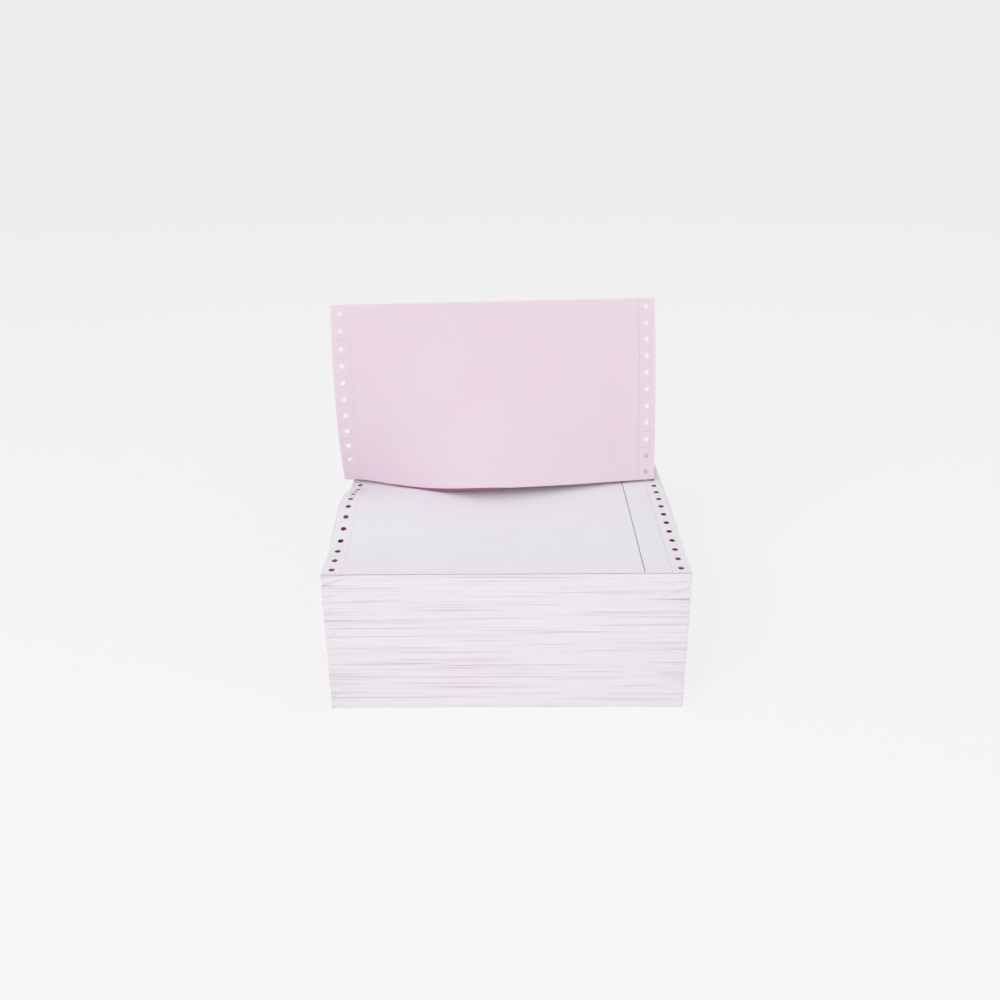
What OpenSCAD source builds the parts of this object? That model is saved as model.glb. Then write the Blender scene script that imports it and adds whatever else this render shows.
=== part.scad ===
// Fan-folded continuous form paper: a block of folded two-ply forms, the loose
// top panel lying on it, and a length of two forms whose front form is turned up.
// Millimetres. X runs across the forms, Y from the front folds to the back folds, Z up.
// The origin is the middle of the block's underside.

/* [Form] */
// Width of a form with both feed strips
form_width = 241.3; // [180:0.1:380]
// Length of a form between two cross perforations
form_length = 139.7; // [127:12.7:152.4]
// Forms between two folds
forms_per_panel = 2; // [1:1:3]
// Thickness of one ply as drawn
ply_thickness = 0.12; // [0.08:0.01:0.25]

/* [Feed holes] */
// Diameter of a feed hole
hole_diameter = 4; // [3:0.1:5]
// Distance between feed holes along the strip
hole_pitch = 12.7; // [12.7:12.7:25.4]
// Distance from the paper's edge to the hole centres
hole_inset = 6.35; // [5:0.05:9]

/* [Block] */
// Fold bundles in the block
bundle_count = 40; // [8:1:60]
// Height of one fold bundle
bundle_height = 2.6; // [1.5:0.1:5]
// How far bundles wander sideways and lengthways
bundle_wander = 0.45; // [0:0.05:1]

/* [Top panel] */
// Highest lift of the loose top panel above the block
panel_lift = 4.5; // [1:0.1:10]
// Length of the slope up from the front fold
front_slope = 120; // [60:1:130]
// Length of the slope down to the back edge
back_slope = 75; // [40:1:100]
// How far in from the left edge the hump and the dip reach
side_reach = 110; // [60:1:160]
// Height of the hump at the left edge
hump_height = 8; // [0:0.5:10]
// Distance from the front fold to the top of the hump
hump_place = 88; // [70:1:100]
// Distance from the top of the hump to where it ends, front and back
hump_reach = 55; // [35:1:65]
// Share of the lift that the dip behind the hump takes away
dip_share = 0.7; // [0:0.05:0.9]
// Distance from the front fold to the bottom of the dip
dip_place = 150; // [130:1:170]
// Distance from the bottom of the dip to where it ends, front and back
dip_reach = 45; // [25:1:60]
// Space between the two plies of a pair
ply_gap = 0.3; // [0.1:0.05:0.8]
// Extra space between the plies where the panel is loose
ply_splay = 0.5; // [0:0.05:1]

/* [Turned up length] */
// Distance from the block's back edge to the left end of the top edge
top_setback = 129; // [110:1:140]
// How far the right end of the top edge is behind the left end
top_skew = 38; // [0:1:45]
// How far the right end of the top edge is below the left end
top_fall = 4.5; // [0:0.5:5]
// Sideways shift of the whole length, negative to the left
form_shift = -6; // [-8:0.5:8]
// How far its lying form reaches past the block's back edge
back_overhang = 5; // [0:0.5:8]
// Backward lean at the left end of the top edge, in degrees
lean_top_left = 18.5; // [0:0.5:30]
// Backward lean at the right end of the top edge, in degrees
lean_top_right = 31; // [0:0.5:40]
// Lean at the lower left corner, negative tucks it back, in degrees
lean_left = -19; // [-30:0.5:0]
// Lean at the lower edge's most forward place, in degrees
lean_belly = 25.5; // [5:0.5:30]
// Lean at the lower right corner, in degrees
lean_right = 7.5; // [0:0.5:20]
// Place of the belly across the width, as a share from the left
belly_place = 0.5; // [0.3:0.01:0.7]
// Sideways slip of the white ply behind the pink one
rear_ply_slip = 1.6; // [0:0.1:3]

/* [Hidden] */
$fn = 48;

white_paper = "#F3F1F4";
pink_paper = "#F1D5E3";
block_paper = "#F0E7EC";

panel_length = form_length * forms_per_panel;
block_height = bundle_count * bundle_height;
half_width = form_width / 2;
half_length = panel_length / 2;
holes_per_form = round(form_length / hole_pitch);
holes_per_panel = round(panel_length / hole_pitch);
hole_column = half_width - hole_inset;
fold_steps = 6;
seat_gap = 0.35;
walk_steps = 16;
through = 1;
punch_depth = 4;

// Turns in degrees that spread the bundles' offsets
wander_turn_x = 97;
wander_turn_y = 133;

// Slight wave over the loose panel: its share of the lift, and degrees per millimetre
wave_share = 0.06;
wave_turn_x = 1.9;
wave_turn_y = 1.3;
wave_start = 40;

// Inward draw of the panel's edges where it is lifted, and upward share of the ply slip
panel_draw_in = 0.8;
slip_rise = 0.4;
// How fast the lying form's arch fades towards the back edge
arch_fade = 1.3;

panel_cells_x = 20;
panel_cells_y = 26;
form_cells_u = 20;
form_cells_v = 12;
lying_cells = 11;

function ease(t) = let (c = min(1, max(0, t))) c * c * (3 - 2 * c);

function blend(a, b, t) = a + (b - a) * t;

// Small repeatable offset of a bundle, between -1 and 1
function wander(i, turn) = sin(i * turn);

// A closed thin sheet between two grids of points with the same layout
module sheet(near, far, cells_u, cells_v) {
    row = cells_u + 1;
    count = row * (cells_v + 1);
    function at(i, j) = j * row + i;
    skins = [
        for (j = [0 : cells_v - 1], i = [0 : cells_u - 1])
            let (a = at(i, j), b = at(i + 1, j), c = at(i + 1, j + 1), d = at(i, j + 1))
            each [
                [a, c, b], [a, d, c],
                [count + a, count + b, count + c], [count + a, count + c, count + d]
            ]
    ];
    rim = concat(
        [for (i = [0 : cells_u - 1]) [at(i, 0), at(i + 1, 0)]],
        [for (j = [0 : cells_v - 1]) [at(cells_u, j), at(cells_u, j + 1)]],
        [for (i = [cells_u : -1 : 1]) [at(i, cells_v), at(i - 1, cells_v)]],
        [for (j = [cells_v : -1 : 1]) [at(0, j), at(0, j - 1)]]
    );
    walls = [
        for (e = rim)
            each [[e[0], e[1], count + e[0]], [e[1], count + e[1], count + e[0]]]
    ];
    polyhedron(points = concat(near, far), faces = concat(skins, walls));
}

// Points of a round fold in Y and Z
function arc(y, z, r, from, to, steps) = [
    for (k = [0 : steps]) let (a = blend(from, to, k / steps))
        [y + r * cos(a), z + r * sin(a)]
];

// One fold bundle: a round fold in front, two half folds behind
module bundle(i) {
    r = bundle_height / 2;
    top_corner = i == bundle_count - 1
        ? [[half_length, 2 * r], [half_length, r]]
        : arc(half_length - r, 2 * r, r, 360, 270, fold_steps / 2);
    bottom_corner = i == 0
        ? [[half_length, r], [half_length, 0]]
        : arc(half_length - r, 0, r, 90, 0, fold_steps / 2);
    outline = concat(
        arc(-half_length + r, r, r, 270, 90, fold_steps),
        top_corner,
        bottom_corner
    );
    translate([
        bundle_wander * wander(i, wander_turn_x),
        bundle_wander * wander(i, wander_turn_y),
        i * bundle_height
    ])
        rotate([90, 0, 90])
            linear_extrude(form_width, center = true)
                polygon(outline);
}

module feed_columns(count, length, bottom, height) {
    for (side = [-1, 1], k = [0 : count - 1])
        translate([side * hole_column, -length / 2 + (k + 0.5) * hole_pitch, bottom])
            cylinder(h = height, d = hole_diameter);
}

module folded_stack() {
    color(block_paper)
        difference() {
            union() for (i = [0 : bundle_count - 1]) bundle(i);
            feed_columns(holes_per_panel, panel_length, -through, block_height + 2 * through);
        }
}

// A smooth bump of height 1, over reach on both sides of its place
function bump(y, place, reach) = ease(1 - abs(y - place) / reach);

// Height of the loose panel above the block
function panel_rise(x, y) =
    let (
        up = ease((y + half_length) / front_slope),
        down = 1 - ease((y - (half_length - back_slope)) / back_slope),
        side = ease(1 - (x + half_width) / side_reach),
        dip = dip_share * side * bump(y, dip_place - half_length, dip_reach),
        hump = hump_height * side * bump(y, hump_place - half_length, hump_reach),
        wave = wave_share * sin(x * wave_turn_x + wave_start) * sin(y * wave_turn_y)
    )
    panel_lift * up * down * (1 - dip + wave) + hump;

function panel_grid(offset, splay, draw_in) = [
    for (j = [0 : panel_cells_y], i = [0 : panel_cells_x])
        let (
            y = -half_length + panel_length * j / panel_cells_y,
            x = -half_width + form_width * i / panel_cells_x,
            rise = panel_rise(x, y),
            looseness = min(1, rise / panel_lift)
        )
        [
            x * (1 - draw_in * looseness / half_width),
            y,
            block_height + rise + offset + splay * looseness
        ]
];

module top_panel_ply(offset, splay, draw_in) {
    difference() {
        sheet(
            panel_grid(offset + ply_thickness, splay, draw_in),
            panel_grid(offset, splay, draw_in),
            panel_cells_x, panel_cells_y
        );
        feed_columns(
            holes_per_panel, panel_length, block_height - through,
            panel_lift + hump_height + punch_depth
        );
    }
}

module top_panel_pink_ply() {
    color(pink_paper) top_panel_ply(0, 0, 0);
}

module top_panel_white_ply() {
    color(white_paper) top_panel_ply(ply_thickness + ply_gap, ply_splay, panel_draw_in);
}

// Lean of the turned up form along its lower edge, at share u across
function lower_lean(u) =
    u < belly_place
        ? blend(lean_left, lean_belly, ease(u / belly_place))
        : blend(lean_belly, lean_right, ease((u - belly_place) / (1 - belly_place)));

// Its backward lean at share u across and distance d below its top edge
function lean(u, d) =
    blend(blend(lean_top_left, lean_top_right, u), lower_lean(u), d / form_length);

// Way down the form from its top edge, in Y and Z, in small straight steps
function walk(u, d) =
    let (
        step = d / walk_steps,
        leans = [for (k = [0 : walk_steps - 1]) lean(u, (k + 0.5) * step)]
    )
    -step * [
        sum([for (a = leans) sin(a)]),
        sum([for (a = leans) cos(a)])
    ];

function sum(list) = list * [for (v = list) 1];

// Level of the loose panel's upper side, and a seat just over it for what lies on it
panel_plies_height = 2 * ply_thickness + ply_gap + ply_splay;
function seat_z(x, y) =
    let (inner_x = min(half_width, max(-half_width, x)))
    block_height + panel_rise(inner_x, y) + panel_plies_height + seat_gap;

// The turned up form comes down until its lower edge meets the seat
form_shares = [for (k = [0 : form_cells_u]) k / form_cells_u];
function form_x(u) = (u - 0.5) * form_width + form_shift;
function form_y(u, d) = half_length - top_setback + top_skew * u + walk(u, d)[0];
top_z = max([
    for (u = form_shares)
        seat_z(form_x(u), form_y(u, form_length)) + top_fall * u - walk(u, form_length)[1]
]);

function form_point(u, d) =
    [form_x(u), form_y(u, d), top_z - top_fall * u + walk(u, d)[1]];

// Unit vector out of the form's viewer side
function form_normal(u, d) =
    let (
        across = form_point(u + 0.01, d) - form_point(u - 0.01, d),
        down = form_point(u, d + 1) - form_point(u, d - 1),
        n = cross(across, -down)
    )
    n / norm(n);

// Shift of the rear ply, which has slipped most at the top edge
function ply_slip(slip, d) = slip * (1 - d / form_length) * [-1, 0, slip_rise];

// Point of the lying form at share u across and share t from the crease to the back edge;
// where the crease bows up off the panel, the lying form arches up to it
function lying_point(u, t) =
    let (
        crease = form_point(u, form_length),
        y = blend(crease[1], half_length + back_overhang, t),
        arch = crease[2] - seat_z(crease[0], crease[1])
    )
    [crease[0], y, seat_z(crease[0], y) + arch * (1 - ease(arch_fade * t))];

// The pink side of the lying form looks down
lying_normal = [0, 0, -1];

function crease_normal(u) =
    let (n = form_normal(u, form_length) + lying_normal)
    n / norm(n);

// Rows of points from the back edge over the lying form, the crease and the turned up form
function length_grid(offset, slip) = concat(
    [
        for (j = [lying_cells : -1 : 1], i = [0 : form_cells_u])
            lying_point(i / form_cells_u, j / lying_cells) + offset * lying_normal
    ],
    [
        for (i = [0 : form_cells_u])
            let (u = i / form_cells_u)
            form_point(u, form_length) + offset * crease_normal(u)
    ],
    [
        for (j = [1 : form_cells_v], i = [0 : form_cells_u])
            let (
                u = i / form_cells_u,
                d = form_length * (1 - j / form_cells_v)
            )
            form_point(u, d) + ply_slip(slip, d) + offset * form_normal(u, d)
    ]
);

module turned_up_holes(slip) {
    edge = hole_inset / form_width;
    for (u = [edge, 1 - edge], k = [0 : holes_per_form - 1]) {
        d = (k + 0.5) * hole_pitch;
        n = form_normal(u, d);
        translate(form_point(u, d) + ply_slip(slip, d))
            rotate([0, acos(n[2]), atan2(n[1], n[0])])
                cylinder(h = punch_depth, d = hole_diameter, center = true);
        translate(lying_point(u, (k + 0.5) / holes_per_form))
            cylinder(h = punch_depth, d = hole_diameter, center = true);
    }
}

module turned_up_ply(offset, slip) {
    difference() {
        sheet(
            length_grid(offset + ply_thickness, slip),
            length_grid(offset, slip),
            form_cells_u, lying_cells + form_cells_v
        );
        turned_up_holes(slip);
    }
}

module turned_up_pink_ply() {
    color(pink_paper) turned_up_ply(0, 0);
}

module turned_up_white_ply() {
    color(white_paper) turned_up_ply(-ply_gap - ply_thickness, rear_ply_slip);
}

folded_stack();
top_panel_pink_ply();
top_panel_white_ply();
turned_up_pink_ply();
turned_up_white_ply();
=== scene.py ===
import math
import random
from functools import lru_cache, partial

import bpy
from mathutils import Matrix, Vector


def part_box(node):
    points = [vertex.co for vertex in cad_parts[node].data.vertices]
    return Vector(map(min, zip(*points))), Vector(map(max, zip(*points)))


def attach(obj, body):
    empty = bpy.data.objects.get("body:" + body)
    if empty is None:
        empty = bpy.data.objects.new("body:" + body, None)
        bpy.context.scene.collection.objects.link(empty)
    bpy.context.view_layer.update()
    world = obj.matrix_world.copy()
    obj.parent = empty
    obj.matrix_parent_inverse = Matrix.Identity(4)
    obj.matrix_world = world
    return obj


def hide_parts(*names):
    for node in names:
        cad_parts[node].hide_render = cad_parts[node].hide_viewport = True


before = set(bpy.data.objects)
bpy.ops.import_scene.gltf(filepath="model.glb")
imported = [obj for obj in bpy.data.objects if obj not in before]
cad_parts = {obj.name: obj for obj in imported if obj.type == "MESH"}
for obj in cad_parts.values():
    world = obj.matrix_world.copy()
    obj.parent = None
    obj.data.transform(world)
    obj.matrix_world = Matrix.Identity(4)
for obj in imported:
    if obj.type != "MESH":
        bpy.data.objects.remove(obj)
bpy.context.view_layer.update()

bl_info = {
    "name": "Continuous Form Paper",
    "version": (1, 0, 0),
    "blender": (4, 5, 0),
    "location": "View3D > Sidebar > Form Paper",
    "description": "Dresses a fan-folded stack of two-ply continuous forms",
    "category": "Add Mesh",
}

MM = 0.001

# The places below are the part's own, in metres
BLOCK_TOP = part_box("folded_stack")[1].z

PANEL_LIFT = 4.5 * MM
FRONT_SLOPE = 120 * MM
BACK_SLOPE = 75 * MM
SIDE_REACH = 110 * MM
HUMP_HEIGHT = 8 * MM
HUMP_PLACE = 88 * MM
HUMP_REACH = 55 * MM
DIP_SHARE = 0.7
DIP_PLACE = 150 * MM
DIP_REACH = 45 * MM
WAVE_SHARE = 0.06
WAVE_TURN_X, WAVE_TURN_Y, WAVE_START = 1.9, 1.3, 40
PLY_GAP = 0.3 * MM
PLY_SPLAY = 0.5 * MM
PANEL_DRAW_IN = 0.8 * MM
SEAT_GAP = 0.35 * MM

TOP_SETBACK = 129 * MM
TOP_SKEW = 38 * MM
TOP_FALL = 4.5 * MM
FORM_SHIFT = -6 * MM
BACK_OVERHANG = 5 * MM
LEAN_TOP_LEFT, LEAN_TOP_RIGHT = 18.5, 31
LEAN_LEFT, LEAN_BELLY, LEAN_RIGHT = -19, 25.5, 7.5
BELLY_PLACE = 0.5
REAR_PLY_SLIP = 1.6 * MM
SLIP_RISE = 0.4
ARCH_FADE = 1.3
WALK_STEPS = 16
EDGE_SHARES = 20
NORMAL_STEP = 0.01

# How near a point counts as on a line, and as on a face
ON_LINE = 1e-6
ON_FACE = 1e-5

CAMERA_PLACE = Vector((1.1, -712.6, 406.9)) * MM
CAMERA_PITCH = 23.6
CAMERA_YAW = -0.47
CAMERA_ROLL = -0.52
FOCAL_SHARE = 0.9968
SENSOR_WIDTH = 36


def srgb(code):
    """A hex colour as linear red, green and blue."""
    parts = [int(code[i:i + 2], 16) / 255 for i in (1, 3, 5)]
    return tuple(c / 12.92 if c <= 0.04045 else ((c + 0.055) / 1.055) ** 2.4 for c in parts)


class FormPaperSettings(bpy.types.PropertyGroup):
    form_width: bpy.props.FloatProperty(
        name="Form Width", description="Width of a form with both feed strips",
        default=241.3 * MM, unit="LENGTH")
    form_length: bpy.props.FloatProperty(
        name="Form Length", description="Length of a form between two cross perforations",
        default=139.7 * MM, unit="LENGTH")
    ply_thickness: bpy.props.FloatProperty(
        name="Ply Thickness", description="Thickness of one ply as drawn",
        default=0.12 * MM, unit="LENGTH", precision=6)
    hole_diameter: bpy.props.FloatProperty(
        name="Feed Hole Diameter", description="Diameter of a feed hole",
        default=4 * MM, unit="LENGTH")
    hole_pitch: bpy.props.FloatProperty(
        name="Feed Hole Pitch", description="Distance between feed holes along the strip",
        default=12.7 * MM, unit="LENGTH")
    hole_inset: bpy.props.FloatProperty(
        name="Feed Hole Inset", description="Distance from the edge to the hole centres",
        default=6.35 * MM, unit="LENGTH")
    strip_width: bpy.props.FloatProperty(
        name="Feed Strip Width", description="Width of the tear-off feed strips",
        default=12.7 * MM, unit="LENGTH")
    stub_width: bpy.props.FloatProperty(
        name="Stub Width", description="Distance from the right edge to the dashed stub line",
        default=30.5 * MM, unit="LENGTH")
    fold_count: bpy.props.IntProperty(
        name="Folds", description="Folds drawn up the height of the block", default=110)
    white_ply: bpy.props.FloatVectorProperty(
        name="White Ply", description="Colour of the top ply",
        subtype="COLOR", size=3, default=srgb("#F3F1F6"))
    white_shade: bpy.props.FloatVectorProperty(
        name="White Shade", description="Colour of the darker clouds in the top ply",
        subtype="COLOR", size=3, default=srgb("#EEEBF1"))
    pink_ply: bpy.props.FloatVectorProperty(
        name="Pink Ply", description="Colour of the bottom ply",
        subtype="COLOR", size=3, default=srgb("#F3DEEB"))
    pink_shade: bpy.props.FloatVectorProperty(
        name="Pink Shade", description="Colour of the darker clouds in the bottom ply",
        subtype="COLOR", size=3, default=srgb("#F0D8E6"))
    perforation: bpy.props.FloatVectorProperty(
        name="Perforation", description="Colour of the cuts in a perforation",
        subtype="COLOR", size=3, default=srgb("#C9B6D2"))
    crimp: bpy.props.FloatVectorProperty(
        name="Crimp", description="Colour of the crimps that hold the plies together",
        subtype="COLOR", size=3, default=srgb("#D6CFE9"))
    # Painted shade: the strong pink of the open crease stands for the pink ply's underside in shadow,
    # tinted by pink bounce light
    crease_painted_shade: bpy.props.FloatVectorProperty(
        name="Crease Painted Shade", description="Colour of the pink ply inside the open crease",
        subtype="COLOR", size=3, default=srgb("#A65C86"))
    # Painted shade: the pink plies' own colour, darkened and made stronger for the shade and pink bounce
    # light inside the feed holes
    bore_painted_shade: bpy.props.FloatVectorProperty(
        name="Bore Painted Shade", description="Colour of the stacked pink plies inside a feed hole",
        subtype="COLOR", size=3, default=srgb("#BE4270"))
    # Painted shade: the darker colour drawn in the gaps between sheets of the block stands for the shadow
    # inside them
    sheet_gap_shade: bpy.props.FloatVectorProperty(
        name="Sheet Gap Shade", description="Colour of the gaps between sheets in the block",
        subtype="COLOR", size=3, default=srgb("#B79FB0"))
    stub_line: bpy.props.FloatVectorProperty(
        name="Stub Line", description="Colour of the dashed stub line",
        subtype="COLOR", size=3, default=srgb("#5C5666"))
    floor: bpy.props.FloatVectorProperty(
        name="Floor", description="Colour of the floor and backdrop",
        subtype="COLOR", size=3, default=srgb("#E9E7E8"))


# Shape of the paper

def ease(t):
    c = min(1.0, max(0.0, t))
    return c * c * (3 - 2 * c)


def mix(a, b, t):
    return a + (b - a) * t


def sin_deg(a):
    return math.sin(math.radians(a))


def cos_deg(a):
    return math.cos(math.radians(a))


def bump(y, place, reach):
    """A smooth bump of height 1, over reach on both sides of its place."""
    return ease(1 - abs(y - place) / reach)


@lru_cache(maxsize=None)
def panel_rise(x, y, width, length):
    """Height of the loose top panel above the block."""
    half_width = width / 2
    inner_x = min(half_width, max(-half_width, x))
    up = ease((y + length) / FRONT_SLOPE)
    down = 1 - ease((y - (length - BACK_SLOPE)) / BACK_SLOPE)
    side = ease(1 - (inner_x + half_width) / SIDE_REACH)
    dip = DIP_SHARE * side * bump(y, DIP_PLACE - length, DIP_REACH)
    hump = HUMP_HEIGHT * side * bump(y, HUMP_PLACE - length, HUMP_REACH)
    wave = WAVE_SHARE * sin_deg(inner_x / MM * WAVE_TURN_X + WAVE_START)
    wave *= sin_deg(y / MM * WAVE_TURN_Y)
    return PANEL_LIFT * up * down * (1 - dip + wave) + hump


class PanelSheet:
    """Lays a flat ply on the block as the loose top panel, or part of the way up to it."""

    def __init__(self, settings, offset, splay=0.0, draw_in=0.0, share=1.0, shift=0.0):
        self.width, self.length = settings.form_width, settings.form_length
        self.offset, self.splay, self.draw_in = offset, splay, draw_in
        self.share, self.shift = share, shift

    def place(self, x, y, z):
        rise = panel_rise(x, y, self.width, self.length)
        part = min(1, rise / PANEL_LIFT)
        across = x * (1 - self.draw_in * part / (self.width / 2)) + self.shift * part
        height = BLOCK_TOP + rise * self.share + self.offset + self.splay * part + z
        return Vector((across, y, height))


class TurnedUpSheet:
    """Bends a flat length of two forms: one lies on the panel, the other is turned up."""

    def __init__(self, settings, offset, slip):
        self.width, self.length = settings.form_width, settings.form_length
        self.thickness = settings.ply_thickness
        self.offset, self.slip = offset, slip
        shares = [k / EDGE_SHARES for k in range(EDGE_SHARES + 1)]
        self.top = max(
            self.seat(self.across(u), self.behind(u, self.length))
            + TOP_FALL * u - self.walk(u, self.length)[1]
            for u in shares
        )

    def across(self, u):
        return (u - 0.5) * self.width + FORM_SHIFT

    def seat(self, x, y):
        plies = 2 * self.thickness + PLY_GAP + PLY_SPLAY
        return BLOCK_TOP + panel_rise(x, y, self.width, self.length) + plies + SEAT_GAP

    def lean(self, u, d):
        if u < BELLY_PLACE:
            lower = mix(LEAN_LEFT, LEAN_BELLY, ease(u / BELLY_PLACE))
        else:
            lower = mix(LEAN_BELLY, LEAN_RIGHT, ease((u - BELLY_PLACE) / (1 - BELLY_PLACE)))
        return mix(mix(LEAN_TOP_LEFT, LEAN_TOP_RIGHT, u), lower, d / self.length)

    @lru_cache(maxsize=None)
    def walk(self, u, d):
        step = d / WALK_STEPS
        leans = [self.lean(u, (k + 0.5) * step) for k in range(WALK_STEPS)]
        return (-step * sum(sin_deg(a) for a in leans), -step * sum(cos_deg(a) for a in leans))

    def behind(self, u, d):
        return self.length - TOP_SETBACK + TOP_SKEW * u + self.walk(u, d)[0]

    @lru_cache(maxsize=None)
    def form_point(self, u, d):
        height = self.top - TOP_FALL * u + self.walk(u, d)[1]
        return Vector((self.across(u), self.behind(u, d), height))

    @lru_cache(maxsize=None)
    def form_normal(self, u, d):
        along = self.form_point(u + NORMAL_STEP, d) - self.form_point(u - NORMAL_STEP, d)
        down = self.form_point(u, d + MM) - self.form_point(u, d - MM)
        return along.cross(-down).normalized()

    def lying_point(self, u, t):
        crease = self.form_point(u, self.length)
        y = mix(crease.y, self.length + BACK_OVERHANG, t)
        arch = crease.z - self.seat(crease.x, crease.y)
        return Vector((crease.x, y, self.seat(crease.x, y) + arch * (1 - ease(ARCH_FADE * t))))

    def place(self, x, y, z):
        u = round(x / self.width + 0.5, 6)
        looks_down = Vector((0, 0, -1))
        if y < -ON_LINE:
            return self.lying_point(u, -y / self.length) + (self.offset + z) * looks_down
        d = round(self.length - y, 7)
        normal = self.form_normal(u, d)
        if y < ON_LINE:
            normal = (normal + looks_down).normalized()
        slipped = self.slip * (1 - d / self.length) * Vector((-1, 0, SLIP_RISE))
        return self.form_point(u, d) + slipped + (self.offset + z) * normal


# Modelling helpers

HOLE_SIDES = 28
PUNCH_MARGIN = 1 * MM
GRID_ACROSS, GRID_ALONG = 60, 70
SMOOTH_ANGLE = 40


def settings():
    return bpy.context.scene.form_paper


def only(piece):
    """Makes one piece the only selected and active one."""
    bpy.ops.object.select_all(action="DESELECT")
    piece.select_set(True)
    bpy.context.view_layer.objects.active = piece


def apply_modifier(piece, kind, **values):
    only(piece)
    modifier = piece.modifiers.new(kind.title(), kind)
    for name, value in values.items():
        setattr(modifier, name, value)
    bpy.ops.object.modifier_apply(modifier=modifier.name)


def subdivide_edges(piece, chosen, cuts):
    """Cuts the chosen edges of a piece in edit mode."""
    only(piece)
    for vertex in piece.data.vertices:
        vertex.select = False
    for face in piece.data.polygons:
        face.select = False
    for edge in piece.data.edges:
        a, b = (piece.data.vertices[i].co for i in edge.vertices)
        edge.select = chosen(a, b)
    bpy.ops.object.mode_set(mode="EDIT")
    bpy.ops.mesh.select_mode(type="EDGE")
    bpy.ops.mesh.subdivide(number_cuts=cuts)
    bpy.ops.object.mode_set(mode="OBJECT")


def hole_cutter(sizes, low, high):
    """The two rows of feed-hole punches for a length of two forms, as one object."""
    count = round(2 * sizes.form_length / sizes.hole_pitch)
    column = sizes.form_width / 2 - sizes.hole_inset
    punches = []
    for side in (-1, 1):
        for k in range(count):
            y = -sizes.form_length + (k + 0.5) * sizes.hole_pitch
            bpy.ops.mesh.primitive_cylinder_add(
                vertices=HOLE_SIDES, radius=sizes.hole_diameter / 2, depth=high - low,
                location=(side * column, y, (low + high) / 2))
            punches.append(bpy.context.object)
    bpy.ops.object.select_all(action="DESELECT")
    for punch in punches:
        punch.select_set(True)
    bpy.context.view_layer.objects.active = punches[0]
    bpy.ops.object.join()
    bpy.ops.object.transform_apply(location=True, rotation=True, scale=True)
    return bpy.context.object


def punch_holes(piece, sizes, low, high):
    cutter = hole_cutter(sizes, low, high)
    apply_modifier(piece, "BOOLEAN", operation="DIFFERENCE", solver="EXACT", object=cutter)
    bpy.data.objects.remove(cutter)


def flat_blank():
    """A flat ply of two forms with its feed holes, keeping its flat place as a UV map."""
    sizes = settings()
    bpy.ops.mesh.primitive_grid_add(x_subdivisions=GRID_ACROSS, y_subdivisions=GRID_ALONG, size=1)
    blank = bpy.context.object
    blank.name = "flat_blank"
    blank.scale = (sizes.form_width, 2 * sizes.form_length, 1)
    bpy.ops.object.transform_apply(location=True, rotation=True, scale=True)
    apply_modifier(blank, "SOLIDIFY", thickness=sizes.ply_thickness, offset=1)
    punch_holes(blank, sizes, -PUNCH_MARGIN, PUNCH_MARGIN)
    apply_modifier(blank, "TRIANGULATE")
    mesh = blank.data
    while mesh.uv_layers:
        mesh.uv_layers.remove(mesh.uv_layers[0])
    flat = mesh.uv_layers.new(name="flat_place")
    for loop in mesh.loops:
        place = mesh.vertices[loop.vertex_index].co
        flat.data[loop.index].uv = (place.x, place.y)
    return blank


def bent_ply(blank, name, sheet, material):
    """A copy of the flat blank, bent into its place."""
    ply = blank.copy()
    ply.data = blank.data.copy()
    ply.name = name
    ply.data.name = name
    bpy.context.scene.collection.objects.link(ply)
    for vertex in ply.data.vertices:
        vertex.co = sheet.place(round(vertex.co.x, 6), round(vertex.co.y, 6), vertex.co.z)
    finish_piece(ply, material)
    return ply


def finish_piece(piece, material, angle=SMOOTH_ANGLE):
    piece.data.materials.clear()
    piece.data.materials.append(material)
    only(piece)
    bpy.ops.object.shade_smooth_by_angle(angle=math.radians(angle))
    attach(piece, "root")


# Materials

def add(tree, kind, inputs=(), **values):
    """Adds a node, sets its values, and links or sets its inputs, given in order or by name."""
    node = tree.nodes.new("ShaderNode" + kind)
    for name, value in values.items():
        setattr(node, name, value)
    for key, value in inputs.items() if isinstance(inputs, dict) else enumerate(inputs):
        if isinstance(value, bpy.types.Node):
            value = next(socket for socket in value.outputs if not socket.is_unavailable)
        if isinstance(value, bpy.types.NodeSocket):
            tree.links.new(value, node.inputs[key])
        else:
            node.inputs[key].default_value = value
    return node


def rgba(colour):
    return (*colour[:3], 1)


def new_material(name):
    """An empty material with its shader and output, and the function that adds to it."""
    material = bpy.data.materials.new(name)
    material.use_nodes = True
    material.node_tree.nodes.clear()
    node = partial(add, material.node_tree)
    shader = node("BsdfPrincipled")
    node("OutputMaterial", {"Surface": shader})
    return material, node, shader


DASH_PITCH = 2.6 * MM
DASH_GAP_SHARE = 0.42
PERFORATION_HALF = 0.2 * MM
LEFT_STRENGTH = 0.45
STUB_DASH_PITCH = 3.2 * MM
STUB_HALF = 0.3 * MM
STUB_END = 1 * MM
CRIMP_HALF_HEIGHT = 0.7 * MM
CRIMP_PITCH = 1.7 * MM
CRIMP_HALF_ROW = 3.4 * MM
CRIMP_TICK_SHARE = 0.17
# Place and reach of the painted crease shade
CREASE_SHADE_MIDDLE = -38 * MM
CREASE_SHADE_HALF_LENGTH = 52 * MM
CREASE_SHADE_REACH = 1.7 * MM
CREASE_SHADE_LINE = 0.25 * MM
HOLE_SHADE_WIDTH = 0.9 * MM
FIBRE_SIZE = 1.4 * MM
CLOUD_SIZE = 45 * MM
TOOTH_SIZE = 0.5 * MM
SCATTER_DEPTH = 0.4 * MM
SCATTER_SHARE = 0.3
SCATTER_RADII = (1.0, 0.8, 0.9)
SIDE_BLEND = 1 * MM
CRIMP_ROWS_OUT = 3
FIBRE_SHARE = 0.35
CLOUD_SHARE = 0.65
MARK_PRESS = -2.0
TOOTH_STRENGTH = 0.12
TOOTH_DEPTH = 0.1 * MM
PAPER_ROUGHNESS = 0.72
PAPER_SPECULAR = 0.3


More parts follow.
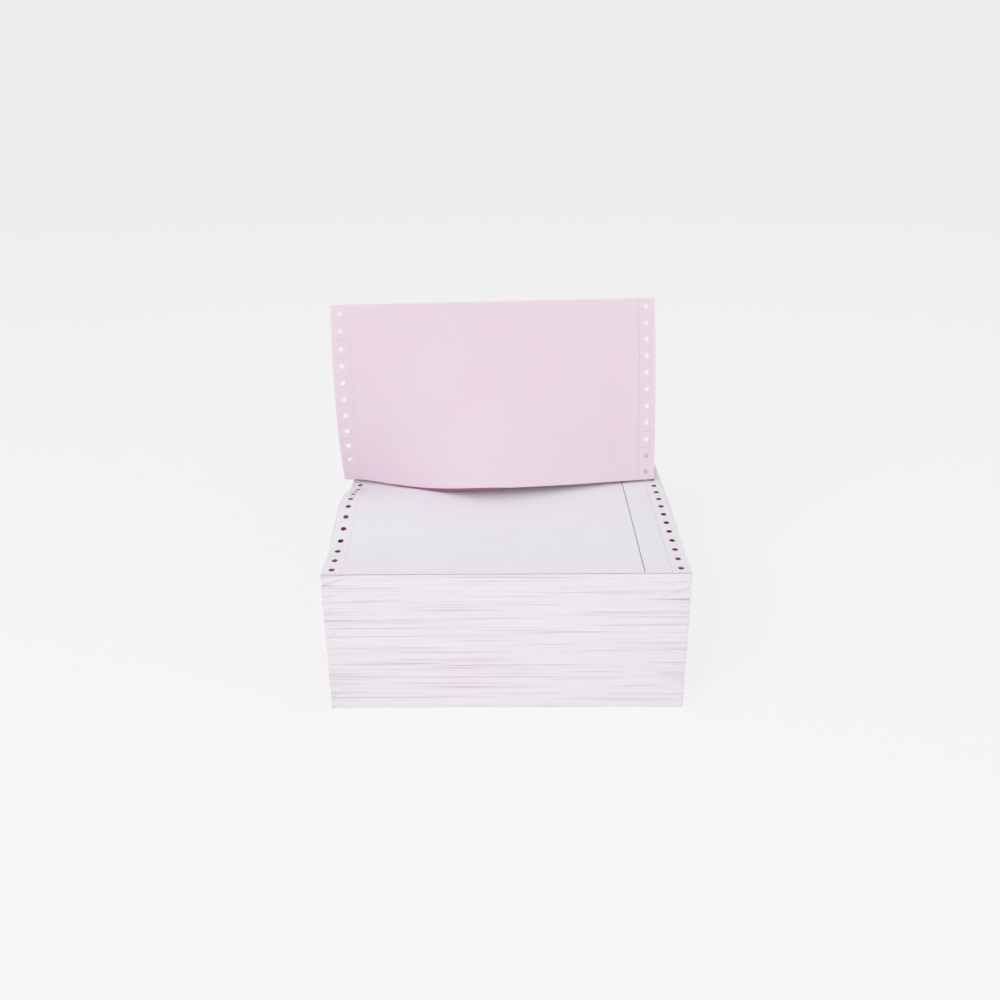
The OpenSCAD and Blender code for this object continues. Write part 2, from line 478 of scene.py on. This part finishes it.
def paper_material(name, colour, shade, with_stub=False, with_crease=False, with_rims=False):
    """Uncoated carbonless form paper, machine made: smooth, matt and a little translucent, with
    faint fibre clouds, slit perforations by the feed strips and between forms, and crimps."""
    sizes = settings()
    material, node, shader = new_material(name)
    parts = node("SeparateXYZ", [node("UVMap", uv_map="flat_place")])
    x, y = parts.outputs["X"], parts.outputs["Y"]
    from_edge = node("Math", (sizes.form_width / 2, node("Math", [x], operation="ABSOLUTE")),
                     operation="SUBTRACT")

    # Perforations, drawn coarser than real ones so that they show, fainter on the left
    dash_y = node("Math", (node("Math", [node("Math", (y, DASH_PITCH), operation="DIVIDE")],
                                operation="FRACT"), DASH_GAP_SHARE), operation="GREATER_THAN")
    dash_x = node("Math", (node("Math", [node("Math", (x, DASH_PITCH), operation="DIVIDE")],
                                operation="FRACT"), DASH_GAP_SHARE), operation="GREATER_THAN")
    strength = node("MapRange", {"Value": x, "From Min": -SIDE_BLEND, "From Max": SIDE_BLEND,
                                 "To Min": LEFT_STRENGTH, "To Max": 1.0})
    on_strip = node("Math", (from_edge, sizes.strip_width, PERFORATION_HALF), operation="COMPARE")
    strip = node("Math", (node("Math", (dash_y, on_strip), operation="MULTIPLY"), strength),
                 operation="MULTIPLY")
    on_cross = node("Math", (y, 0.0, PERFORATION_HALF), operation="COMPARE")
    cross = node("Math", (dash_x, on_cross), operation="MULTIPLY")
    cuts = node("Math", (strip, cross), operation="MAXIMUM")

    # Two rows of crimps near each end of a form, between feed holes
    from_middle = node("Math", [node("Math", (node("Math", [y], operation="ABSOLUTE"),
                                              sizes.form_length / 2), operation="SUBTRACT")],
                       operation="ABSOLUTE")
    from_rows = node("Math", [node("Math", (from_middle, CRIMP_ROWS_OUT * sizes.hole_pitch),
                                   operation="SUBTRACT")], operation="ABSOLUTE")
    in_row = node("Math", (from_rows, sizes.hole_pitch / 2, CRIMP_HALF_HEIGHT), operation="COMPARE")
    in_strip = node("Math", (from_edge, sizes.hole_inset, CRIMP_HALF_ROW), operation="COMPARE")
    along_row = node("Math", (node("Math", (from_edge, sizes.hole_inset - CRIMP_HALF_ROW),
                                   operation="SUBTRACT"), CRIMP_PITCH), operation="DIVIDE")
    tick = node("Math", (node("Math", [along_row], operation="FRACT"), 0.5, CRIMP_TICK_SHARE),
                operation="COMPARE")
    crimps = node("Math", (node("Math", (in_row, in_strip), operation="MULTIPLY"), tick),
                  operation="MULTIPLY")

    place = node("TexCoord").outputs["Object"]
    fibres = node("TexNoise", {"Vector": place, "Scale": 1 / FIBRE_SIZE, "Detail": 3.0,
                               "Roughness": 0.6})
    clouds = node("TexNoise", {"Vector": place, "Scale": 1 / CLOUD_SIZE, "Detail": 2.0})
    clouded = node("Math", (clouds, CLOUD_SHARE), operation="MULTIPLY")
    tone = node("Math", (fibres, FIBRE_SHARE, clouded), operation="MULTIPLY_ADD")
    paper = node("Mix", {"Factor": tone, "A": rgba(shade), "B": rgba(colour)}, data_type="RGBA")
    cut = node("Mix", {"Factor": cuts, "A": paper, "B": rgba(sizes.perforation)},
               data_type="RGBA")
    final = node("Mix", {"Factor": crimps, "A": cut, "B": rgba(sizes.crimp)}, data_type="RGBA")
    if with_crease:
        # Painted shade along the open crease: the pink ply in shadow there, tinted by pink bounce light
        # between the plies, reaching farthest under the belly
        aside = node("Math", (node("Math", (x, CREASE_SHADE_MIDDLE), operation="SUBTRACT"),
                              CREASE_SHADE_HALF_LENGTH), operation="DIVIDE")
        bow = node("Math", (1.0, node("Math", (aside, 2.0), operation="POWER")),
                   operation="SUBTRACT")
        depth = node("Math", (node("Math", (bow, CREASE_SHADE_REACH), operation="MULTIPLY"),
                              CREASE_SHADE_LINE), operation="MAXIMUM")
        deep = node("Math", (y, 0.0, depth), operation="COMPARE")
        final = node("Mix", {"Factor": deep, "A": final, "B": rgba(sizes.crease_painted_shade)},
                     data_type="RGBA")
    if with_stub:
        from_right = node("Math", (sizes.form_width / 2, x), operation="SUBTRACT")
        stub_dash = node("Math", (node("Math", [node("Math", (y, STUB_DASH_PITCH),
                                                     operation="DIVIDE")], operation="FRACT"),
                                  DASH_GAP_SHARE / 2), operation="GREATER_THAN")
        on_stub = node("Math", (from_right, sizes.stub_width, STUB_HALF), operation="COMPARE")
        in_form = node("Math", (y, 0.0, sizes.form_length - STUB_END), operation="COMPARE")
        stub = node("Math", (node("Math", (stub_dash, on_stub), operation="MULTIPLY"), in_form),
                    operation="MULTIPLY")
        final = node("Mix", {"Factor": stub, "A": final, "B": rgba(sizes.stub_line)},
                     data_type="RGBA")
    if with_rims:
        # Painted shade round the feed holes of the plies below: a ring of strong pink stands for the
        # shaded hole, lit pink from under them
        from_pitch = node("Math", (node("Math", [node("Math", (y, sizes.hole_pitch),
                                                      operation="DIVIDE")], operation="FRACT"),
                                   0.5), operation="SUBTRACT")
        lengthways = node("Math", (from_pitch, sizes.hole_pitch), operation="MULTIPLY")
        sideways = node("Math", (from_edge, sizes.hole_inset), operation="SUBTRACT")
        reach = node("VectorMath", [node("CombineXYZ", (sideways, lengthways))],
                     operation="LENGTH").outputs["Value"]
        rim = node("Math", (reach, sizes.hole_diameter / 2 + HOLE_SHADE_WIDTH), operation="LESS_THAN")
        final = node("Mix", {"Factor": rim, "A": final, "B": rgba(sizes.bore_painted_shade)},
                     data_type="RGBA")
    tooth = node("TexNoise", {"Vector": place, "Scale": 1 / TOOTH_SIZE, "Detail": 2.0})
    marks = node("Math", (cuts, crimps), operation="MAXIMUM")
    pressed = node("Math", (marks, MARK_PRESS, tooth), operation="MULTIPLY_ADD")
    relief = node("Bump", {"Height": pressed, "Strength": TOOTH_STRENGTH, "Distance": TOOTH_DEPTH})
    material.node_tree.links.new(final.outputs["Result"], shader.inputs["Base Color"])
    material.node_tree.links.new(relief.outputs[0], shader.inputs["Normal"])
    shader.inputs["Roughness"].default_value = PAPER_ROUGHNESS
    shader.inputs["Specular IOR Level"].default_value = PAPER_SPECULAR
    shader.inputs["Subsurface Weight"].default_value = SCATTER_SHARE
    shader.inputs["Subsurface Radius"].default_value = SCATTER_RADII
    shader.inputs["Subsurface Scale"].default_value = SCATTER_DEPTH
    return material


SHEET_LINE = 0.55 * MM
SIDE_STREAK = 60 * MM
FOLD_ZONE = 1.2 * MM
BORE_MARGIN = 2 * MM
TOP_MARGIN = 0.2 * MM
LINE_START, LINE_FULL = 0.42, 0.58
# Noise for the painted shade in the gaps between sheets
GAP_SCALE = 0.6
GAP_START, GAP_FULL = 0.6, 0.7
GAP_SHADE_STRENGTH = 0.45
FOLD_MUTING = -0.55
BACK_PINK = 0.5
LINE_STRENGTH = 0.35
LINE_DEPTH = 0.2 * MM
BLOCK_ROUGHNESS = 0.8
BLOCK_SPECULAR = 0.25


def block_material():
    """The cut edges and folds of many plies: white folds in front, pink folds behind,
    and fine white and pink lines on the sides, drawn a few sheets wide so that they show."""
    sizes = settings()
    material, node, shader = new_material("carbonless_paper_stack_edges")
    place = node("TexCoord").outputs["Object"]
    parts = node("SeparateXYZ", [place])
    y = parts.outputs["Y"]
    stretched = node("Mapping", {"Vector": place,
                                 "Scale": (1 / SIDE_STREAK, 1 / SIDE_STREAK, 1 / SHEET_LINE)})
    lines = node("TexNoise", {"Vector": stretched, "Scale": 1.0, "Detail": 2.0,
                              "Roughness": 0.7})
    sharp = node("MapRange", {"Value": lines, "From Min": LINE_START, "From Max": LINE_FULL})
    front = node("Math", (y, FOLD_ZONE - sizes.form_length), operation="LESS_THAN")
    back = node("Math", (y, sizes.form_length - FOLD_ZONE), operation="GREATER_THAN")
    # Share of pink: half on the sides, little in front, most behind
    ends = node("Math", (front, back), operation="ADD")
    muted = node("Math", (ends, FOLD_MUTING, 1.0), operation="MULTIPLY_ADD")
    lined_share = node("Math", (sharp, muted), operation="MULTIPLY")
    share = node("Math", (back, BACK_PINK, lined_share), operation="MULTIPLY_ADD")
    paper = node("Mix", {"Factor": share, "A": rgba(sizes.white_ply), "B": rgba(sizes.pink_ply)},
                 data_type="RGBA")
    # Painted shade: darker streaks where the gaps between sheets fall in shadow
    gaps = node("TexNoise", {"Vector": stretched, "Scale": GAP_SCALE, "Detail": 1.0})
    gap_shade_share = node("MapRange", {"Value": gaps, "From Min": GAP_START, "From Max": GAP_FULL,
                                  "To Max": GAP_SHADE_STRENGTH})
    lined = node("Mix", {"Factor": gap_shade_share, "A": paper, "B": rgba(sizes.sheet_gap_shade)},
                 data_type="RGBA")
    # Painted shade inside the bores: the stacked pink plies, dark in the hole and lit pink by each other,
    # drawn in a strong pink
    inside_x = node("Math", (parts.outputs["X"], 0.0, sizes.form_width / 2 - BORE_MARGIN),
                    operation="COMPARE")
    inside_y = node("Math", (y, 0.0, sizes.form_length - BORE_MARGIN), operation="COMPARE")
    inside_z = node("Math", (parts.outputs["Z"], BLOCK_TOP / 2, BLOCK_TOP / 2 - TOP_MARGIN),
                    operation="COMPARE")
    in_bore = node("Math", (node("Math", (inside_x, inside_y), operation="MULTIPLY"), inside_z),
                   operation="MULTIPLY")
    coloured = node("Mix", {"Factor": in_bore, "A": lined, "B": rgba(sizes.bore_painted_shade)},
                    data_type="RGBA")
    relief = node("Bump", {"Height": lines, "Strength": LINE_STRENGTH, "Distance": LINE_DEPTH})
    material.node_tree.links.new(coloured.outputs["Result"], shader.inputs["Base Color"])
    material.node_tree.links.new(relief.outputs[0], shader.inputs["Normal"])
    shader.inputs["Roughness"].default_value = BLOCK_ROUGHNESS
    shader.inputs["Specular IOR Level"].default_value = BLOCK_SPECULAR
    return material


def white_paper(name="white_carbonless_paper", **marks):
    found = bpy.data.materials.get(name)
    return found or paper_material(name, settings().white_ply, settings().white_shade, **marks)


def pink_paper(name="pink_carbonless_paper", **marks):
    found = bpy.data.materials.get(name)
    return found or paper_material(name, settings().pink_ply, settings().pink_shade, **marks)


# Operators

SEGMENTS_A_FOLD = 6
FIRST_CUTS = 10
FOLD_DEPTH = 0.4 * MM
FOLD_WANDER = 0.45 * MM
SHEET_WANDER = 0.3 * MM
FOLD_SEED = 11
SHEETS_A_GROUP = 3
GROUP_SHARE = 0.6
SINGLE_SHARE = 0.5
FOLD_SMOOTH_ANGLE = 35


class FORMPAPER_OT_block(bpy.types.Operator):
    """Model the fan-folded block with its folds and feed-hole bores"""
    bl_idname = "formpaper.block"
    bl_label = "Folded Block"

    def execute(self, context):
        sizes = settings()
        half_width, half_length = sizes.form_width / 2, sizes.form_length
        height = BLOCK_TOP
        bpy.ops.object.select_all(action="DESELECT")
        bpy.ops.mesh.primitive_cube_add(size=1, location=(0, 0, height / 2))
        block = context.object
        block.name = "folded_block"
        block.scale = (sizes.form_width, 2 * half_length, height)
        bpy.ops.object.transform_apply(location=True, rotation=True, scale=True)
        punch_holes(block, sizes, -PUNCH_MARGIN, height + PUNCH_MARGIN)

        def corner_edge(a, b):
            at_corner = all(
                abs(abs(p.x) - half_width) < ON_FACE and abs(abs(p.y) - half_length) < ON_FACE
                for p in (a, b))
            return at_corner and abs(a.z - b.z) > ON_LINE

        rows = sizes.fold_count * SEGMENTS_A_FOLD
        subdivide_edges(block, corner_edge, FIRST_CUTS)
        subdivide_edges(block, corner_edge, rows // (FIRST_CUTS + 1) - 1)
        self.shape_folds(block, sizes, height)
        finish_piece(block, block_material(), FOLD_SMOOTH_ANGLE)
        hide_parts("folded_stack")
        return {"FINISHED"}

    def shape_folds(self, block, sizes, height):
        """Rounds each fold and lets the sheets stand out a little here and there."""
        half_width, half_length = sizes.form_width / 2, sizes.form_length
        pitch = height / sizes.fold_count
        chance = random.Random(FOLD_SEED)
        count = sizes.fold_count + 2
        in_front = [chance.uniform(0, FOLD_WANDER) for _ in range(count)]
        behind = [chance.uniform(0, FOLD_WANDER) for _ in range(count)]
        sideways = [chance.uniform(-SHEET_WANDER, SHEET_WANDER) for _ in range(count)]
        drift = [chance.uniform(-SHEET_WANDER, SHEET_WANDER) / 2 for _ in range(count)]

        def folded(row, setback):
            k, step = divmod(row, SEGMENTS_A_FOLD)
            from_middle = 2 * step / SEGMENTS_A_FOLD - 1
            return setback[k] + FOLD_DEPTH * (1 - math.sqrt(1 - from_middle ** 2))

        for vertex in block.data.vertices:
            x, y, z = vertex.co
            row = round(z / pitch * SEGMENTS_A_FOLD)
            k = row // SEGMENTS_A_FOLD
            on_side = abs(abs(x) - half_width) < ON_FACE
            if abs(y + half_length) < ON_FACE:
                vertex.co.y = y + folded(row, in_front)
            elif abs(y - half_length) < ON_FACE:
                vertex.co.y = y - folded(row + SEGMENTS_A_FOLD // 2, behind)
            if on_side:
                skew = drift[k] * y / half_length
                grouped = sideways[k // SHEETS_A_GROUP] * GROUP_SHARE
                vertex.co.x = x + grouped + sideways[k] * SINGLE_SHARE + skew


# Loose plies that fill the space up to the panel: share of its rise, and sideways shift in mm
LOOSE_PLIES = ((0.2, -0.4), (0.42, 0.5), (0.62, -0.8), (0.82, 0.3))
LOOSE_SINK = 0.5


class FORMPAPER_OT_top_panel(bpy.types.Operator):
    """Model the two plies of the loose top panel and the loose plies under it"""
    bl_idname = "formpaper.top_panel"
    bl_label = "Top Panel"

    def execute(self, context):
        sizes = settings()
        bpy.ops.object.select_all(action="DESELECT")
        blank = flat_blank()
        thickness = sizes.ply_thickness
        pink = bent_ply(blank, "panel_pink_ply", PanelSheet(sizes, 0.0),
                        pink_paper("pink_paper_below", with_rims=True))
        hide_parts("top_panel_pink_ply")
        white = bent_ply(
            blank, "panel_white_ply",
            PanelSheet(sizes, thickness + PLY_GAP, PLY_SPLAY, PANEL_DRAW_IN),
            white_paper(with_stub=True))
        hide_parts("top_panel_white_ply")
        for k, (share, shift) in enumerate(LOOSE_PLIES):
            is_white = k % 2 == 0
            sink = -thickness * (1 - share) * LOOSE_SINK
            bent_ply(
                blank, f"loose_ply_{k + 1}",
                PanelSheet(sizes, sink, share=share, shift=shift * MM),
                white_paper("white_paper_below", with_rims=True) if is_white
                else pink_paper("pink_paper_below", with_rims=True))
        bpy.data.objects.remove(blank)
        return {"FINISHED"}


class FORMPAPER_OT_turned_up_length(bpy.types.Operator):
    """Model the two plies of the length whose front form is turned up"""
    bl_idname = "formpaper.turned_up_length"
    bl_label = "Turned Up Length"

    def execute(self, context):
        sizes = settings()
        bpy.ops.object.select_all(action="DESELECT")
        blank = flat_blank()
        thickness = sizes.ply_thickness
        pink = bent_ply(blank, "length_pink_ply", TurnedUpSheet(sizes, 0.0, 0.0),
                        pink_paper(with_crease=True))
        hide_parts("turned_up_pink_ply")
        white = bent_ply(blank, "length_white_ply",
                         TurnedUpSheet(sizes, -PLY_GAP - thickness, REAR_PLY_SLIP),
                         white_paper(with_stub=True))
        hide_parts("turned_up_white_ply")
        bpy.data.objects.remove(blank)
        return {"FINISHED"}


FLOOR_SIDE = 10
BACK_LINE = 0.45 * FLOOR_SIDE
BACKDROP_HEIGHT = 5
BACKDROP_CURVE = 1.2
BACKDROP_STEPS = 24
LAMP_AIM = Vector((0, 0, 0.1))
FLOOR_LIFT = 0.7
AMBIENT_LEVEL = 0.64


def seen_directly(node):
    """1 for rays from the camera, off gloss and through glass, and 0 for the light on things."""
    path = node("LightPath")
    bent = node("Math", (path.outputs["Is Glossy Ray"], path.outputs["Is Transmission Ray"]),
                operation="MAXIMUM")
    return node("Math", (path.outputs["Is Camera Ray"], bent), operation="MAXIMUM")


class FORMPAPER_OT_stage(bpy.types.Operator):
    """Add the floor with its curved backdrop, the lamps, the world and the camera"""
    bl_idname = "formpaper.stage"
    bl_label = "Stage"

    def execute(self, context):
        self.add_floor()
        self.add_lamps()
        self.set_world(context)
        self.add_camera(context)
        context.scene.view_settings.view_transform = "Standard"
        return {"FINISHED"}

    def add_floor(self):
        bpy.ops.object.select_all(action="DESELECT")
        bpy.ops.mesh.primitive_plane_add(size=FLOOR_SIDE, location=(0, 0, 0))
        floor = bpy.context.object
        floor.name = "floor"
        bpy.ops.object.transform_apply(location=True, rotation=True, scale=True)
        for edge in floor.data.edges:
            edge.select = all(floor.data.vertices[i].co.y > BACK_LINE for i in edge.vertices)
        for vertex in floor.data.vertices:
            vertex.select = vertex.co.y > BACK_LINE
        for face in floor.data.polygons:
            face.select = False
        bpy.ops.object.mode_set(mode="EDIT")
        bpy.ops.mesh.select_mode(type="EDGE")
        bpy.ops.mesh.extrude_region_move(TRANSFORM_OT_translate={"value": (0, 0, BACKDROP_HEIGHT)})
        bpy.ops.object.mode_set(mode="OBJECT")
        apply_modifier(floor, "BEVEL", width=BACKDROP_CURVE, segments=BACKDROP_STEPS, limit_method="ANGLE")
        bpy.ops.object.shade_smooth()
        floor.data.materials.append(self.floor_material())

    def floor_material(self):
        """Matt studio paper, pale and even: what the camera sees is lifted towards white"""
        material, node, shader = new_material("studio_paper")
        shader.inputs["Base Color"].default_value = rgba(settings().floor)
        shader.inputs["Roughness"].default_value = 1.0
        shader.inputs["Specular IOR Level"].default_value = 0.0
        lift = node("Math", (seen_directly(node), FLOOR_LIFT), operation="MULTIPLY")
        white = node("Emission", {"Color": rgba(srgb("#FFFFFF")), "Strength": 1.0})
        lifted = node("MixShader", (lift, shader, white))
        output = material.node_tree.nodes["Material Output"]
        material.node_tree.links.new(lifted.outputs[0], output.inputs["Surface"])
        return material

    def add_lamps(self):
        # Place, watts and side of each square soft lamp
        lamps = {
            "key_lamp": ((-0.9, -1.3, 1.2), 10, 0.9),
            "fill_lamp": ((1.2, -1.1, 0.8), 4.6, 1.2),
            "top_lamp": ((0.1, 0.5, 1.9), 2.6, 1.4),
        }
        for name, (place, power, side) in lamps.items():
            bpy.ops.object.light_add(type="AREA", location=place)
            lamp = bpy.context.object
            lamp.name = name
            lamp.data.energy = power
            lamp.data.size = side
            aim = LAMP_AIM - Vector(place)
            lamp.rotation_euler = aim.to_track_quat("-Z", "Y").to_euler()

    def set_world(self, context):
        world = bpy.data.worlds.new("studio_world")
        context.scene.world = world
        world.use_nodes = True
        world.node_tree.nodes.clear()
        node = partial(add, world.node_tree)
        light = node("Background", {"Color": rgba(srgb("#FFFFFF")), "Strength": AMBIENT_LEVEL})
        shown = node("Background", {"Color": rgba(srgb("#F1F1F1")), "Strength": 1.0})
        both = node("MixShader", (seen_directly(node), light, shown))
        node("OutputWorld", {"Surface": both})

    def add_camera(self, context):
        bpy.ops.object.camera_add()
        camera = context.object
        camera.name = "camera"
        forward = Vector((
            sin_deg(CAMERA_YAW) * cos_deg(CAMERA_PITCH),
            cos_deg(CAMERA_YAW) * cos_deg(CAMERA_PITCH),
            -sin_deg(CAMERA_PITCH)))
        level = Vector((cos_deg(CAMERA_YAW), -sin_deg(CAMERA_YAW), 0))
        upright = level.cross(forward)
        right = level * cos_deg(CAMERA_ROLL) + upright * sin_deg(CAMERA_ROLL)
        up = upright * cos_deg(CAMERA_ROLL) - level * sin_deg(CAMERA_ROLL)
        turn = Matrix((right, up, -forward)).transposed().to_4x4()
        camera.matrix_world = Matrix.Translation(CAMERA_PLACE) @ turn
        camera.data.sensor_fit = "HORIZONTAL"
        camera.data.sensor_width = SENSOR_WIDTH
        camera.data.lens = SENSOR_WIDTH * FOCAL_SHARE
        camera.data.dof.use_dof = False
        context.scene.camera = camera


class FORMPAPER_PT_panel(bpy.types.Panel):
    """Sizes, colours and steps of the form paper"""
    bl_idname = "FORMPAPER_PT_panel"
    bl_label = "Form Paper"
    bl_space_type = "VIEW_3D"
    bl_region_type = "UI"
    bl_category = "Form Paper"

    def draw(self, context):
        for name in FormPaperSettings.__annotations__:
            self.layout.prop(context.scene.form_paper, name)
        for step in STEPS:
            self.layout.operator(step.bl_idname)


STEPS = (
    FORMPAPER_OT_block,
    FORMPAPER_OT_top_panel,
    FORMPAPER_OT_turned_up_length,
    FORMPAPER_OT_stage,
)
CLASSES = (FormPaperSettings, *STEPS, FORMPAPER_PT_panel)


def register():
    for each in CLASSES:
        bpy.utils.register_class(each)
    bpy.types.Scene.form_paper = bpy.props.PointerProperty(type=FormPaperSettings)


def unregister():
    del bpy.types.Scene.form_paper
    for each in reversed(CLASSES):
        bpy.utils.unregister_class(each)


def main():
    register()
    bpy.ops.object.select_all(action="DESELECT")
    bpy.ops.formpaper.block()
    bpy.ops.formpaper.top_panel()
    bpy.ops.formpaper.turned_up_length()
    bpy.ops.formpaper.stage()


if __name__ == "__main__":
    main()
